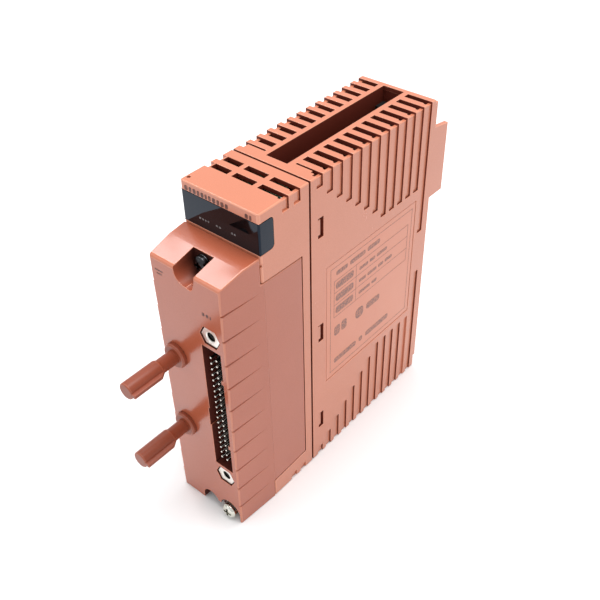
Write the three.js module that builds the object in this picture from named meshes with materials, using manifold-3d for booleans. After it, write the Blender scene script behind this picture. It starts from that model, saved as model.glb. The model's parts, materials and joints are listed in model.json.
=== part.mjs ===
// A rack-mounted input/output module with a plug-on connector adapter at its front.
//
// Millimetres. X is the module's width, and +X is the side with the name plate. Y runs from the adapter's
// front face (y = 0) to the rear, and Z is up from the foot. The root group moves the origin to the middle
// of the footprint.

import * as THREE from "three";
import { mergeVertices } from "three/addons/utils/BufferGeometryUtils.js";
import Module from "manifold-3d";

const wasm = await Module();
wasm.setup();

// ---------------------------------------------------------------- driving dimensions

const HALF_WIDTH = 16.4;
const HEIGHT = 130;
const WALL = 1.8;
const INNER_HALF_WIDTH = HALF_WIDTH - WALL;
const GAP = 0.3; // between pieces that lie against each other
const PAST = 1; // how far a cutting tool runs past the surface that it cuts

// Depths, from the front to the rear.
const KNOB_REACH = -22.7;
const COVER_FRONT = 17;
const FOOT_FRONT = 18;
const SPINE_FRONT = 36.4;
const COVER_REAR = 40;
const CASE_FRONT = 40.9;
const CASE_REAR = 110.9;
const SIDE_WALL_REAR = 112.3;
const GUARD_REAR = 120.7;

// The C-shaped space of the front cover that holds the adapter.
const BAY_BOTTOM = [8.4, 9.2]; // height at its mouth and at its back
const BAY_TOP = [104.9, 104.2];

// Vents: a row of slots across the top and the bottom, each running on into a channel in the side walls.
const VENT_PITCH = 5.13;
const VENT_WIDTH = 2.6;
const FIRST_VENT = 44.25;
const CASE_VENTS = 13;
const COVER_VENTS = [28, 33.4];
const CHANNEL_LEAD = 0.5; // a channel is this much wider than its slot, towards the front
const CHANNEL_DEPTH = 0.7;
const CHANNEL_TOP_STEP = 1;
const VENT_OUTER = 14.4;
const SLOT_LEFT = -5.1; // the long air slot in the middle of the top
const SLOT_RIGHT = 3.8;
const SLOT_FRONT = 44.4;
const SLOT_REAR = 108.8;

// Snap windows in the case's side walls, and the label recess.
const SNAP_HEIGHTS = [19.3, 64.7, 110.2];
const SNAP_FRONT = 44.4;
const SNAP_REAR = 47.2;
const SNAP_HALF_HEIGHT = 3.95;
const LABEL = { front: 48.9, rear: 103, bottom: 37.7, top: 91.7, depth: 0.5 };

// Display window.
const WINDOW_BOTTOM = 115.1;
const WINDOW_TOP = 126.6;
const WINDOW_WING_REAR = 23.5;
const WINDOW_THICKNESS = 1.6;

// Adapter.
const ADAPTER_FRONT_HALF_WIDTH = 15.2;
const TAPER_REAR = 18;
const ADAPTER_TOP = [111.7, 114, 114.5]; // height at the front edge, at the bend and at the rear
const ADAPTER_BEND = 9.6;
const HEADER_X = 8.8;
const HEADER_Z = 56.2;
const PIN_PITCH = 2.54;
const PIN_ROW_LENGTH = 20;
const PIN_SIDE = 0.64;
const OPENING = { left: 4.65, right: 12.95, halfHeight: 28.7 };
const JACK_OFFSET = 33.7; // from the middle of the header
const KNOB_X = -8.3;
const KNOB_HEIGHTS = { upper: 73.1, lower: 39.5 };
const KNOB_NECK = 2.6; // radius
const FLANGE = { radius: 4.8, thickness: 1.9, chamfer: 0.5 };
const FIN_REACH = 4.5; // of a knob's fin from its axis
const FIN_THICKNESS = 1.5;
const UPPER_SCREW = { x: 0, z: 110.3 };
const LOWER_SCREW = { x: -0.4, z: 3.3 };
const FIXING_SCREW = { x: 9.5, z: 3.5 };
const FIXING_WELL_DEPTH = 2.6;
const HEEL_HEIGHT = 3.7; // of the front face's lower edge between the two bottom screws
const SCREW_WELL_DEPTH = 9.2;

// Main board, which stands parallel to the left wall.
const BOARD_LEFT = -8.8;
const BOARD_RIGHT = -7.2;
const ON_BOARD = BOARD_RIGHT + 0.1; // where parts stand on it
const BOSSES = [
  { y: 52.5, z: 13 },
  { y: 52.5, z: 108 },
  { y: 102, z: 14 },
  { y: 102, z: 84 },
];

// ---------------------------------------------------------------- materials

const FINISHES = {
  shell: ["#c9826c", 0.55, 0],
  adapter: ["#bd7a6a", 0.5, 0],
  knob: ["#a8604a", 0.5, 0],
  window: ["#23282f", 0.08, 0],
  black: ["#17171a", 0.6, 0],
  white: ["#e8e6df", 0.6, 0],
  lamp: ["#cfe6d2", 0.25, 0],
  board: ["#1f5b3c", 0.45, 0],
  label: ["#c98f7f", 0.5, 0],
  bright: ["#d9d9d6", 0.22, 1],
  dark: ["#2b2b2e", 0.35, 1],
  brass: ["#c9a24f", 0.3, 1],
  gold: ["#d8b25a", 0.3, 1],
  ferrite: ["#3a3b3e", 0.7, 0],
  winding: ["#c9a83a", 0.5, 0],
  capacitor: ["#1d2f52", 0.4, 0],
};

// ---------------------------------------------------------------- solids

// A closed three.js geometry as a manifold-3d solid.
function solid(geometry) {
  const bare = geometry.clone();
  bare.deleteAttribute("normal");
  bare.deleteAttribute("uv");
  const merged = mergeVertices(bare, 1e-4);
  return new wasm.Manifold(
    new wasm.Mesh({
      numProp: 3,
      vertProperties: merged.attributes.position.array,
      triVerts: new Uint32Array(merged.index.array),
    }),
  );
}

function box([x0, x1], [y0, y1], [z0, z1]) {
  const block = new THREE.BoxGeometry(x1 - x0, y1 - y0, z1 - z0);
  return solid(block.translate((x0 + x1) / 2, (y0 + y1) / 2, (z0 + z1) / 2));
}

// A rod along Y.
function rod(x, z, radius, y0, y1, sides = 28) {
  const cylinder = new THREE.CylinderGeometry(radius, radius, y1 - y0, sides);
  return solid(cylinder.translate(x, (y0 + y1) / 2, z));
}

// A rod along X.
function crossRod(y, z, radius, x0, x1, sides = 20) {
  const cylinder = new THREE.CylinderGeometry(radius, radius, x1 - x0, sides);
  return solid(cylinder.rotateZ(Math.PI / 2).translate((x0 + x1) / 2, y, z));
}

function extrude(shape, length) {
  return new THREE.ExtrudeGeometry(shape, { depth: length, bevelEnabled: false, curveSegments: 8 });
}

// An outline of (y, z) points, extruded along X.
function slabAlongX(shape, x0, x1) {
  const turn = new THREE.Matrix4().makeBasis(
    new THREE.Vector3(0, 1, 0),
    new THREE.Vector3(0, 0, 1),
    new THREE.Vector3(1, 0, 0),
  );
  return solid(extrude(shape, x1 - x0).applyMatrix4(turn).translate(x0, 0, 0));
}

// An outline of (x, z) points, extruded along Y.
function slabAlongY(shape, y0, y1) {
  const turn = new THREE.Matrix4().makeBasis(
    new THREE.Vector3(1, 0, 0),
    new THREE.Vector3(0, 0, 1),
    new THREE.Vector3(0, -1, 0),
  );
  return solid(extrude(shape, y1 - y0).applyMatrix4(turn).translate(0, y1, 0));
}

function outline(points) {
  return new THREE.Shape(points.map(([u, v]) => new THREE.Vector2(u, v)));
}

// A solid of revolution about Y, from (radius, y) points.
function turned(points, sides = 32) {
  return solid(new THREE.LatheGeometry(points.map(([r, y]) => new THREE.Vector2(r, y)), sides));
}

function join(...pieces) {
  return pieces.reduce((whole, piece) => whole.add(piece));
}

function cut(base, ...tools) {
  return tools.reduce((rest, tool) => rest.subtract(tool), base);
}

// The same tool on the left and on the right.
function bothSides(make) {
  return [make(1), make(-1)];
}

function span(a, b) {
  return a < b ? [a, b] : [b, a];
}

function around(middle, half) {
  return [middle - half, middle + half];
}

function mesh(name, finish, shape, position = [0, 0, 0]) {
  const { vertProperties, triVerts } = shape.getMesh();
  const geometry = new THREE.BufferGeometry();
  geometry.setAttribute("position", new THREE.BufferAttribute(vertProperties, 3));
  geometry.setIndex(new THREE.BufferAttribute(triVerts, 1));
  const faceted = geometry.toNonIndexed();
  faceted.computeVertexNormals();
  const [color, roughness, metalness] = FINISHES[finish];
  const piece = new THREE.Mesh(
    faceted,
    new THREE.MeshStandardMaterial({ color, roughness, metalness }),
  );
  piece.name = name;
  piece.position.set(...position);
  return piece;
}

// ---------------------------------------------------------------- vents

// The channel that carries a vent slot along one side wall, from the top or the bottom edge to height z.
// At the top it also steps over the edge, to meet its slot.
function sideChannel(side, y0, y1, z) {
  const depth = side * (HALF_WIDTH - CHANNEL_DEPTH);
  const beyond = side * (HALF_WIDTH + PAST);
  const across = [y0 - CHANNEL_LEAD, y1];
  if (z < HEIGHT / 2) return box(span(depth, beyond), across, [-PAST, z]);
  const step = box(span(side * VENT_OUTER, beyond), across, [HEIGHT - CHANNEL_TOP_STEP, HEIGHT + PAST]);
  return join(box(span(depth, beyond), across, [z, HEIGHT + PAST]), step);
}

// A vent slot through the top or the bottom wall.
function ventSlot(x0, x1, y0, y1, atTop) {
  const heights = atTop ? [HEIGHT - WALL - PAST, HEIGHT + PAST] : [-PAST, WALL + PAST];
  return box([x0, x1], [y0, y1], heights);
}

// ---------------------------------------------------------------- rear case

function caseVentTools() {
  const tools = [];
  const rightRow = [5.9, VENT_OUTER];
  const leftRow = [-VENT_OUTER, -7.1];
  const narrowSlit = 0.85; // the first slot is mostly closed by a ledge
  for (let k = 0; k < CASE_VENTS; k++) {
    const y0 = FIRST_VENT + VENT_PITCH * k;
    const y1 = y0 + VENT_WIDTH;
    const last = k === CASE_VENTS - 1;
    const topEnd = last ? 75.3 : 125.6 - 4.2 * Math.min(k, 7);
    const bottomEnd = last ? 55.7 : 4 + 4.32 * Math.min(k, 7);
    for (const side of [1, -1])
      tools.push(sideChannel(side, y0, y1, topEnd), sideChannel(side, y0, y1, bottomEnd));
    for (const [x0, x1] of [rightRow, leftRow]) {
      tools.push(ventSlot(x0, x1, k ? y0 : y1 - narrowSlit, y1, true));
      tools.push(ventSlot(x0, x1, y0, y1, false));
    }
  }
  const slitCornerRight = ventSlot(VENT_OUTER - 1.5, VENT_OUTER, FIRST_VENT + 0.7, FIRST_VENT + 2, true);
  return [...tools, slitCornerRight];
}

function rearCase() {
  const shell = cut(
    box([-HALF_WIDTH, HALF_WIDTH], [CASE_FRONT, CASE_REAR], [0, HEIGHT]),
    box(
      [-INNER_HALF_WIDTH, INNER_HALF_WIDTH],
      [CASE_FRONT - PAST, CASE_REAR - WALL],
      [WALL, HEIGHT - WALL],
    ),
  );
  const wallExtensions = bothSides((side) =>
    box(
      span(side * INNER_HALF_WIDTH, side * HALF_WIDTH),
      [CASE_REAR - PAST, SIDE_WALL_REAR],
      [0, HEIGHT - 1],
    ),
  );
  const guard = outline([
    [SIDE_WALL_REAR - PAST, 88.5],
    [GUARD_REAR, 88.5],
    [GUARD_REAR, 117.2],
    [SIDE_WALL_REAR - PAST, 118.7],
  ]);
  const guards = bothSides((side) =>
    slabAlongX(guard, ...span(side * INNER_HALF_WIDTH, side * HALF_WIDTH)),
  );
  const ductWall = 1.2;
  const ductWalls = [
    [SLOT_LEFT - ductWall, SLOT_LEFT],
    [SLOT_RIGHT, SLOT_RIGHT + ductWall],
  ].map((across) => box(across, [SLOT_FRONT, SLOT_REAR + GAP], [119, HEIGHT - PAST]));
  const bosses = BOSSES.map(({ y, z }) => crossRod(y, z, 3.4, -HALF_WIDTH + 0.5, BOARD_LEFT - 0.1));

  const pilotHoles = BOSSES.map(({ y, z }) => crossRod(y, z, 1.3, -14, BOARD_LEFT + PAST, 12));
  const longSlot = box(
    [SLOT_LEFT, SLOT_RIGHT],
    [SLOT_FRONT, SLOT_REAR],
    [HEIGHT - WALL - PAST, HEIGHT + PAST],
  );
  const connectorOpening = box([-7.6, 5], [CASE_REAR - 3, CASE_REAR + PAST], [90.5, 118.5]);
  const heelNotch = box([-20, 20], [CASE_REAR + 0.1, SIDE_WALL_REAR + PAST], [-PAST, 6]);
  const snapWindows = SNAP_HEIGHTS.flatMap((z) =>
    bothSides((side) =>
      box(
        span(side * (INNER_HALF_WIDTH - PAST), side * (HALF_WIDTH + PAST)),
        [SNAP_FRONT, SNAP_REAR],
        around(z, SNAP_HALF_HEIGHT),
      ),
    ),
  );
  const labelRecess = box(
    [HALF_WIDTH - LABEL.depth, HALF_WIDTH + PAST],
    [LABEL.front, LABEL.rear],
    [LABEL.bottom, LABEL.top],
  );
  const body = cut(
    join(shell, ...wallExtensions, ...guards, ...ductWalls, ...bosses),
    ...caseVentTools(),
    ...snapWindows,
    ...pilotHoles,
    longSlot,
    connectorOpening,
    heelNotch,
    labelRecess,
  );
  return mesh("rear_case", "shell", body);
}

function namePlate() {
  const edge = 0.25;
  const plate = box(
    [HALF_WIDTH - LABEL.depth + 0.05, HALF_WIDTH - 0.15],
    [LABEL.front + edge, LABEL.rear - edge],
    [LABEL.bottom + edge, LABEL.top - edge],
  );
  return mesh("name_plate", "label", plate);
}

// ---------------------------------------------------------------- front cover

function coverVentTools() {
  const columns = [
    [-13.9, -6.8],
    [-4.9, 3.9],
    [5.9, VENT_OUTER],
  ];
  return COVER_VENTS.flatMap((y0) => {
    const y1 = y0 + VENT_WIDTH;
    return [
      ...columns.flatMap(([x0, x1]) => [
        ventSlot(x0, x1, y0, y1, true),
        ventSlot(x0, x1, y0, y1, false),
      ]),
      ...[1, -1].flatMap((side) => [
        sideChannel(side, y0, y1, 125.4),
        sideChannel(side, y0, y1, 2.9),
      ]),
    ];
  });
}

// A springy tongue with a hook, that clips into a snap window of the rear case.
function snapHook(side, z) {
  const root = box(span(side * 13.3, side * (INNER_HALF_WIDTH + 0.3)), [37, COVER_REAR], around(z, 3));
  const tongue = box(span(side * 13.3, side * 14.4), [37, SNAP_REAR + 0.4], around(z, 3));
  const hook = outline([
    [side * 14.3, SNAP_FRONT + 0.5],
    [side * 15.9, SNAP_FRONT + 0.5],
    [side * 15.9, SNAP_FRONT + 1.6],
    [side * 14.3, SNAP_REAR - 0.3],
  ]);
  return join(root, tongue, solid(extrude(hook, 6).translate(0, 0, z - 3)));
}

function frontCover() {
  const side = outline([
    [FOOT_FRONT, 0],
    [COVER_REAR, 0],
    [COVER_REAR, HEIGHT],
    [COVER_FRONT, HEIGHT],
    [COVER_FRONT, BAY_TOP[0]],
    [SPINE_FRONT, BAY_TOP[1]],
    [SPINE_FRONT, BAY_BOTTOM[1]],
    [FOOT_FRONT, BAY_BOTTOM[0]],
  ]);
  const body = slabAlongX(side, -HALF_WIDTH, HALF_WIDTH);
  const inside = [-INNER_HALF_WIDTH, INNER_HALF_WIDTH];
  const back = COVER_REAR + PAST;
  const headRoom = box(inside, [COVER_FRONT + WALL, back], [BAY_TOP[0] + WALL, HEIGHT - WALL]);
  const spineRoom = box(inside, [SPINE_FRONT + WALL, back], [WALL, HEIGHT - WALL]);
  const footRoom = box(inside, [26, back], [WALL, BAY_BOTTOM[0] - WALL]);
  const hollow = cut(body, headRoom, spineRoom, footRoom);

  // A lip that enters the rear case and closes the seam.
  const lipRoot = cut(
    box([-14.9, 14.9], [38.6, COVER_REAR], [1.5, 128.5]),
    box([-13.2, 13.2], [38, 41], [3.2, 126.8]),
  );
  const lip = cut(
    box([-14.4, 14.4], [38.6, 42.4], [2, 128]),
    box([-13.2, 13.2], [38, 43], [3.2, 126.8]),
  );
  const hooks = SNAP_HEIGHTS.flatMap((z) => bothSides((s) => snapHook(s, z)));
  const upperBoss = rod(UPPER_SCREW.x, UPPER_SCREW.z, 3.6, COVER_FRONT + PAST, 21.4);

  const windowOpening = slabAlongX(windowSide(-PAST), -HALF_WIDTH - PAST, HALF_WIDTH + PAST);
  const linkOpening = box([-0.6, 9.6], [SPINE_FRONT - PAST, back], [23, 91]);
  const insertHoles = [
    rod(UPPER_SCREW.x, UPPER_SCREW.z, 2.4, COVER_FRONT - PAST, 22.4),
    rod(LOWER_SCREW.x, LOWER_SCREW.z, 2.4, FOOT_FRONT - PAST, 27),
  ];
  const fixingHole = rod(FIXING_SCREW.x, FIXING_SCREW.z, 2.2, FOOT_FRONT - PAST, back);
  const toolingHole = solid(
    new THREE.CylinderGeometry(0.7, 0.7, 4, 12).rotateX(Math.PI / 2).translate(-15, 19.6, HEIGHT),
  );
  const releaseNotches = bothSides((s) =>
    crossRod(COVER_FRONT - 0.1, 111.4, 0.6, ...span(s * 15.6, s * 17), 12),
  );
  const cover = cut(
    join(hollow, lipRoot, lip, ...hooks, upperBoss),
    windowOpening,
    linkOpening,
    ...insertHoles,
    fixingHole,
    toolingHole,
    ...releaseNotches,
    ...coverVentTools(),
  );
  return mesh("front_cover", "shell", cover);
}

// Side view of the display window, with its rear corners rounded. The inset shrinks it.
function windowSide(inset) {
  const radius = 1.4;
  const front = COVER_FRONT + Math.min(inset, 0);
  const shrink = Math.max(inset, 0);
  const rear = WINDOW_WING_REAR - shrink;
  const bottom = WINDOW_BOTTOM + shrink;
  const top = WINDOW_TOP - shrink;
  const shape = new THREE.Shape();
  shape.moveTo(front, bottom);
  shape.lineTo(rear - radius, bottom);
  shape.absarc(rear - radius, bottom + radius, radius, -Math.PI / 2, 0, false);
  shape.absarc(rear - radius, top - radius, radius, 0, Math.PI / 2, false);
  shape.lineTo(front, top);
  return shape;
}

function indicatorWindow() {
  const inner = HALF_WIDTH - WINDOW_THICKNESS;
  const lens = cut(
    slabAlongX(windowSide(0.1), -HALF_WIDTH, HALF_WIDTH),
    box([-inner, inner], [COVER_FRONT + WINDOW_THICKNESS, 30], [110, 130]),
  );
  return mesh("indicator_window", "window", lens);
}

// ---------------------------------------------------------------- indicator board

const LAMP_PLACES = [-8.5, -1, 7];
const LAMP_HEIGHT = 118.5;

function lightShield() {
  const block = box([-14.2, 14.2], [19.1, 21.5], [WINDOW_BOTTOM + 0.3, WINDOW_TOP - 0.3]);
  const lampHoles = LAMP_PLACES.map((x) => rod(x, LAMP_HEIGHT, 1.6, 18, 22, 16));
  return mesh("light_shield", "black", cut(block, ...lampHoles));
}

function indicatorBoard() {
  return mesh("indicator_board", "board", box([-13.8, 13.8], [21.8, 23.4], [114.6, 127.2]));
}

function statusLamp(index) {
  const lamp = turned([
    [0, -2],
    [0.8, -1.7],
    [1.4, -1],
    [1.4, 0],
    [0, 0],
  ], 16);
  return mesh(`status_lamp_${index + 1}`, "lamp", lamp, [LAMP_PLACES[index], 21.7, LAMP_HEIGHT]);
}

function indicatorLinkHeader() {
  return mesh("indicator_link_header", "black", box([ON_BOARD, -4.4], [23.6, 28], [114.8, 119.8]));
}

// ---------------------------------------------------------------- adapter

// A shallow V-shaped grip groove along one flank, which fades out towards the rear.
function gripGroove(side, z) {
  const frontDepth = 0.8;
  const halfOpening = 0.6; // per millimetre of depth
  const reach = 3;
  const vee = outline([
    [0, 0],
    [reach, -reach * halfOpening],
    [reach, reach * halfOpening],
  ]);
  const rise = Math.atan2(HALF_WIDTH - ADAPTER_FRONT_HALF_WIDTH + frontDepth, TAPER_REAR - 1);
  const turn = new THREE.Matrix4().makeBasis(
    new THREE.Vector3(1, 0, 0),
    new THREE.Vector3(0, 0, 1),
    new THREE.Vector3(0, -1, 0),
  );
  const groove = extrude(vee, TAPER_REAR + 4)
    .applyMatrix4(turn)
    .translate(0, TAPER_REAR + 2, 0)
    .rotateZ(-rise)
    .translate(ADAPTER_FRONT_HALF_WIDTH - frontDepth, 0, z);
  return side > 0 ? solid(groove) : solid(groove).mirror([1, 0, 0]);
}

// The wedge that is missing from each flank of the adapter, so that it narrows towards the front.
function taperWedge(side) {
  const wedge = outline([
    [side * (ADAPTER_FRONT_HALF_WIDTH - 0.066), -PAST],
    [side * HALF_WIDTH, TAPER_REAR],
    [side * (HALF_WIDTH - 0.1), TAPER_REAR],
    [side * (HALF_WIDTH - 0.1), SPINE_FRONT],
    [side * 20, SPINE_FRONT],
    [side * 20, -PAST],
  ]);
  return solid(extrude(wedge, HEIGHT).translate(0, 0, -PAST));
}

// A slot with a half-round end at (x, z), open towards the nearest edge: upwards or downwards.
function screwWell(x, z, radius, depth, upwards) {
  const straight = upwards ? [z, HEIGHT] : [-PAST, z];
  return join(
    rod(x, z, radius, -PAST, depth),
    box([x - radius, x + radius], [-PAST, depth], straight),
  );
}

// Front view of a jack socket: a six-sided outline, wider than it is tall.
function jackOutline(grow) {
  const [tip, shoulder, half] = [4.1 + grow, 2.4 + grow / 2, 3.2 + grow];
  return outline([
    [tip, 0],
    [shoulder, half],
    [-shoulder, half],
    [-tip, 0],
    [-shoulder, -half],
    [shoulder, -half],
  ]);
}

function adapterHousing() {
  const side = outline([
    [0, 0],
    [FOOT_FRONT - GAP, 0],
    [FOOT_FRONT - GAP, BAY_BOTTOM[0] + GAP],
    [SPINE_FRONT - GAP, BAY_BOTTOM[1] + GAP],
    [SPINE_FRONT - GAP, BAY_TOP[1] - GAP],
    [COVER_FRONT - GAP, BAY_TOP[0] - GAP],
    [COVER_FRONT - GAP, ADAPTER_TOP[2]],
    [ADAPTER_BEND, ADAPTER_TOP[1]],
    [0, ADAPTER_TOP[0]],
  ]);
  const block = cut(
    slabAlongX(side, -HALF_WIDTH, HALF_WIDTH),
    ...bothSides(taperWedge),
  );
  const interior = box([-13.6, 13.6], [2, SPINE_FRONT], [11.2, 101.8]);
  const shell = cut(block, interior);

  const headerWell = box(
    [OPENING.left - 2.4, 13.9],
    [1, 9.4],
    around(HEADER_Z, OPENING.halfHeight + 1.3),
  );
  const jackHeights = [HEADER_Z + JACK_OFFSET, HEADER_Z - JACK_OFFSET];
  const jackPads = jackHeights.map((z) => box([HEADER_X - 5, 13.9], [1, 4], around(z, 4.4)));

  const opening = box(
    [OPENING.left, OPENING.right],
    [-PAST, 10],
    around(HEADER_Z, OPENING.halfHeight),
  );
  const keyDepth = 0.5;
  const keySlot = box([OPENING.left - keyDepth, OPENING.left + PAST], [-PAST, 5.7], [47.2, 55.4]);
  const latches = [72.4, 40.6].map((z) =>
    box([OPENING.right - 0.9, OPENING.right + 0.2], [0, 1.6], around(z, 0.9)),
  );
  const jackPockets = jackHeights.map((z) => {
    const pocket = slabAlongY(jackOutline(0.35), -PAST, 2.2).translate([HEADER_X, 0, z]);
    return join(pocket, rod(HEADER_X, z, 2.5, -PAST, 5, 20));
  });
  const knobHoles = Object.values(KNOB_HEIGHTS).map((z) => rod(KNOB_X, z, KNOB_NECK + 0.15, -PAST, 3));
  const wells = [
    screwWell(UPPER_SCREW.x, UPPER_SCREW.z, 4.4, SCREW_WELL_DEPTH, true),
    screwWell(LOWER_SCREW.x - 0.1, LOWER_SCREW.z - 0.85, 3.85, SCREW_WELL_DEPTH, false),
    box([LOWER_SCREW.x, FIXING_SCREW.x], [-PAST, FIXING_WELL_DEPTH], [-PAST, HEEL_HEIGHT]),
    screwWell(FIXING_SCREW.x, FIXING_SCREW.z - 0.4, 4.9, FIXING_WELL_DEPTH, false),
    rod(1.6, 107.7, 2.1, -PAST, 2.4, 24),
  ];
  const shankHoles = [
    rod(UPPER_SCREW.x, UPPER_SCREW.z, 1.7, 0, FOOT_FRONT, 20),
    rod(LOWER_SCREW.x, LOWER_SCREW.z, 1.7, 0, FOOT_FRONT, 20),
    rod(FIXING_SCREW.x, FIXING_SCREW.z, 2.2, 0, FOOT_FRONT, 20),
  ];
  const gripPitch = 10.2;
  const grooves = Array.from({ length: 10 }, (_, i) => 101.6 - gripPitch * i).flatMap((z) =>
    bothSides((s) => gripGroove(s, z)),
  );
  const cutBody = cut(
    join(shell, headerWell, ...jackPads),
    opening,
    keySlot,
    ...jackPockets,
    ...knobHoles,
    ...wells,
    ...shankHoles,
    ...grooves,
  );
  return mesh("adapter_housing", "adapter", join(cutBody, ...latches));
}

function adapterBackCover() {
  const plate = cut(
    box([-13.4, 13.4], [33.9, 35.7], [11.5, 101.5]),
    box([-0.3, 9.3], [33, 37], [23.3, 90.7]),
  );
  return mesh("adapter_back_cover", "black", plate);
}

function adapterBoard() {
  return mesh("adapter_board", "board", box([2.3, 3.9], [9.8, 33.4], [19, 93]));
}

function signalHeaderBody() {
  const clearance = 0.1;
  const body = box(
    [OPENING.left + clearance, OPENING.right - clearance],
    [6, 9.4],
    around(HEADER_Z, OPENING.halfHeight - clearance),
  );
  const rowHalfHeight = ((PIN_ROW_LENGTH - 1) / 2) * PIN_PITCH + 0.5;
  const slots = bothSides((side) =>
    box(
      around(HEADER_X + (side * PIN_PITCH) / 2, 0.42),
      [5, 10],
      around(HEADER_Z, rowHalfHeight),
    ),
  );
  return mesh("signal_header_body", "black", cut(body, ...slots));
}

// One row of square pins on a shared carrier strip, with tails that turn towards the adapter board.
function pinRow(name, side, tailY) {
  const half = PIN_SIDE / 2;
  const length = (PIN_ROW_LENGTH - 1) * PIN_PITCH;
  const x = (side * PIN_PITCH) / 2;
  const boardFace = 3.95 - HEADER_X;
  const strip = box(around(x, half), [6.6, 8.8], around(0, length / 2 + half));
  const pins = Array.from({ length: PIN_ROW_LENGTH }, (_, i) => {
    const z = i * PIN_PITCH - length / 2;
    return join(
      box(around(x, half), [0.5, tailY + half], around(z, half)),
      box([boardFace, x + half], around(tailY, half), around(z, half)),
    );
  });
  return mesh(name, "gold", join(strip, ...pins), [HEADER_X, 0, HEADER_Z]);
}

function jackSocket(name, z) {
  const head = slabAlongY(jackOutline(0), 0.5, 2.1);
  const shank = rod(0, 0, 2.4, 2, 9, 20);
  const bore = rod(0, 0, 1.7, 0, 8, 24);
  const countersink = turned([
    [0, 0],
    [2.4, 0],
    [1.6, 0.9],
    [0, 0.9],
  ], 24);
  return mesh(name, "bright", cut(join(head, shank), bore, countersink), [HEADER_X, 0, z]);
}

function jackNut(name, z) {
  const nut = cut(rod(0, 0, 3.3, 4.3, 6.3, 6), rod(0, 0, 2.45, 4, 7, 20));
  return mesh(name, "bright", nut, [HEADER_X, 0, z]);
}

function adapterLinkPlug() {
  const shell = box([4.0, 7.8], [29, 42.6], [24, 90]);
  const tongue = box([4.6, 7.2], [42, 46.4], [26.4, 87.6]);
  return mesh("adapter_link_plug", "black", join(shell, tongue));
}

function mainLinkSocket() {
  const body = box([ON_BOARD, 9.4], [43.2, 49.5], [23.5, 90.5]);
  const slot = box([4.3, 7.5], [42, 47], [26, 88]);
  return mesh("main_link_socket", "black", cut(body, slot));
}

// A retaining knob: a flange against the front face, a neck, a thicker head and one fin along the head.
// Its axis is Y, and its flange's back face is at y = 0.
function retainingKnob(name, z) {
  const headRadius = 3.1;
  const tip = KNOB_REACH;
  const body = turned([
    [0, tip],
    [headRadius - 0.3, tip],
    [headRadius, tip + 0.3],
    [headRadius, -9],
    [KNOB_NECK, -8],
    [KNOB_NECK, -FLANGE.thickness],
    [FLANGE.radius - FLANGE.chamfer, -FLANGE.thickness],
    [FLANGE.radius, FLANGE.chamfer - FLANGE.thickness],
    [FLANGE.radius, -0.05],
    [KNOB_NECK, -0.05],
    [KNOB_NECK, 2.4],
    [2.1, 2.4],
    [2.1, 3.4],
    [KNOB_NECK, 3.4],
    [KNOB_NECK - 0.5, 4.6],
    [0, 4.6],
  ]);
  const fin = outline([
    [0, tip + 0.1],
    [FIN_REACH, tip + 0.1],
    [FIN_REACH, -10.8],
    [KNOB_NECK - 0.4, -7.4],
    [0, -7.4],
  ]);
  const rib = solid(extrude(fin, FIN_THICKNESS).translate(0, 0, -FIN_THICKNESS / 2));
  return mesh(name, "knob", join(body, rib), [KNOB_X, 0, z]);
}

// A spring clip in the groove behind the front wall, open on one side.
function knobClip(name, z) {
  const ring = cut(
    rod(0, 0, 4.2, 2.5, 3.3, 24),
    rod(0, 0, 2.2, 2, 4, 20),
    box([-1.4, 1.4], [2, 4], [0, 5]),
  );
  return mesh(name, "bright", ring, [KNOB_X, 0, z]);
}

// A screw along Y with its head towards the front. The head's back face is at y = 0.
function screw({ headRadius, headHeight, shankRadius, length, recess }) {
  const rim = headHeight * 0.45;
  const body = turned([
    [0, -headHeight],
    [headRadius * 0.55, -headHeight],
    [headRadius * 0.86, -headHeight * 0.78],
    [headRadius, -rim],
    [headRadius, 0],
    [shankRadius, 0],
    [shankRadius, length - 0.6],
    [shankRadius - 0.5, length],
    [0, length],
  ], 28);
  return cut(body, ...recess);
}

function crossRecess(size, headHeight, depth) {
  const blade = size * 0.13;
  const reach = [-headHeight - PAST, -headHeight + depth];
  return [
    box([-size / 2, size / 2], reach, [-blade, blade]),
    box([-blade, blade], reach, [-size / 2, size / 2]),
  ];
}

const ADAPTER_SCREW_HEAD_BACK = 8.35;

function adapterScrew(name, place) {
  const headHeight = 2.2;
  const shape = screw({
    headRadius: 2.75,
    headHeight,
    shankRadius: 1.45,
    length: 12.4,
    recess: crossRecess(3, headHeight, 1.2),
  });
  return mesh(name, "dark", shape, [place.x, ADAPTER_SCREW_HEAD_BACK, place.z]);
}

function adapterWasher(name, place) {
  const ring = cut(rod(0, 0, 2.9, 0.05, 0.65, 24), rod(0, 0, 1.6, -1, 1, 20));
  return mesh(name, "dark", ring, [place.x, ADAPTER_SCREW_HEAD_BACK, place.z]);
}

const FIXING_HEAD_BACK = 0.3;

function fixingScrew() {
  const headHeight = 2.2;
  const shape = screw({
    headRadius: 3.1,
    headHeight,
    shankRadius: 1.95,
    length: 33,
    recess: crossRecess(3.8, headHeight, 1.5),
  });
  return mesh("fixing_screw", "bright", shape, [FIXING_SCREW.x, FIXING_HEAD_BACK, FIXING_SCREW.z]);
}

function fixingWasher() {
  const stack = cut(
    join(rod(0, 0, 3.1, 0.1, 1.3), rod(0, 0, 3.4, 1.2, 2.1)),
    rod(0, 0, 2.1, -1, 3, 24),
  );
  return mesh("fixing_washer", "bright", stack, [FIXING_SCREW.x, FIXING_HEAD_BACK, FIXING_SCREW.z]);
}

function threadedInsert(name, place, y0, y1) {
  const insert = cut(rod(0, 0, 2.3, y0, y1, 20), rod(0, 0, 1.55, y0 - 1, y1 + 1, 20));
  return mesh(name, "brass", insert, [place.x, 0, place.z]);
}

// ---------------------------------------------------------------- main board and what stands on it

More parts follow.
